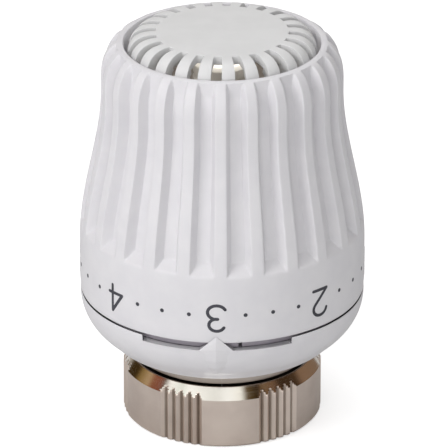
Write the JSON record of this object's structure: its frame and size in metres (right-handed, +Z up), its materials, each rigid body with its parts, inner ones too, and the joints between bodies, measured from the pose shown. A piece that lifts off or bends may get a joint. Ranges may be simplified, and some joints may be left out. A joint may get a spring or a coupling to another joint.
{
  "type": "thermostatic radiator valve head",
  "caption": "Thermostatic radiator valve head: fluted handwheel with vented domed cap, fixed base with pointer, knurled union nut, and a liquid sensor and push rod inside.",
  "frame": {"origin": "centre of the union nut's lower face, on the head's axis", "axes": "+Z runs up the head's axis to the vented cap; -Y is the way the setting pointer faces; +X is to the right of someone facing the pointer"},
  "size_m": [0.05, 0.0504, 0.072],
  "materials": {
    "white_plastic": "satin moulded",
    "grey_plastic": "moulded",
    "black_plastic": "moulded",
    "nickel_plated_brass": "nickel-plated, satin turned with a bright chamfer",
    "brass": "turned",
    "spring_steel": "bright wire"
  },
  "bodies": {
    "fixed_body": {"base": "white_plastic", "connector_sleeve": "nickel_plated_brass", "nut_retaining_wire": "spring_steel", "return_spring": "spring_steel"},
    "nut_body": {"union_nut": "nickel_plated_brass"},
    "handwheel_body": {"handwheel": "white_plastic", "end_cap": "white_plastic"},
    "feed_body": {"slip_washer": "black_plastic"},
    "adjuster_body": {"adjuster": "grey_plastic", "retaining_ring": "spring_steel", "overtravel_spring": "spring_steel"},
    "sensor_body": {"sensor_can": "nickel_plated_brass", "sensor_end_plate": "brass", "filler_boss": "brass", "pin_bush": "black_plastic", "bellows": "brass"},
    "rod_body": {"thrust_pin": "spring_steel", "push_rod": "black_plastic"},
    "limit_min_body": {"limit_ring_min": "grey_plastic"},
    "limit_max_body": {"limit_ring_max": "grey_plastic"}
  },
  "joints": [
    {"name": "handwheel_turn", "type": "hinge", "parent": "fixed_body", "child": "handwheel_body", "pos_m": [0, 0, 0.04], "axis": [0, 0, 1], "range_deg": [-135, 90]},
    {"name": "nut_spin", "type": "hinge", "parent": "fixed_body", "child": "nut_body", "pos_m": [0, 0, 0.005], "axis": [0, 0, 1], "continuous": true},
    {"name": "feed_slide", "type": "slide", "parent": "fixed_body", "child": "feed_body", "axis": [0, 0, 1], "range_m": [-0.00226, 0.00151]},
    {"name": "adjuster_turn", "type": "hinge", "parent": "feed_body", "child": "adjuster_body", "pos_m": [0, 0, 0.04], "axis": [0, 0, 1], "range_deg": [-135.5, 90.5]},
    {"name": "overtravel", "type": "slide", "parent": "feed_body", "child": "sensor_body", "axis": [0, 0, 1], "range_m": [0, 0.002], "deforming": ["overtravel_spring"]},
    {"name": "rod_thrust", "type": "slide", "parent": "sensor_body", "child": "rod_body", "axis": [0, 0, -1], "range_m": [-0.0008, 0.002], "deforming": ["bellows", "return_spring"]},
    {"name": "limit_min_set", "type": "hinge", "parent": "fixed_body", "child": "limit_min_body", "pos_m": [0, 0, 0.021], "axis": [0, 0, 1], "range_deg": [0, 90]},
    {"name": "limit_max_set", "type": "hinge", "parent": "fixed_body", "child": "limit_max_body", "pos_m": [0, 0, 0.0227], "axis": [0, 0, 1], "range_deg": [-60, 0]}
  ],
  "couplings": [
    {"joint": "feed_slide", "follows": "handwheel_turn", "m_per_rad": 0.00095493},
    {"joint": "adjuster_turn", "follows": "handwheel_turn", "ratio": 1}
  ]
}
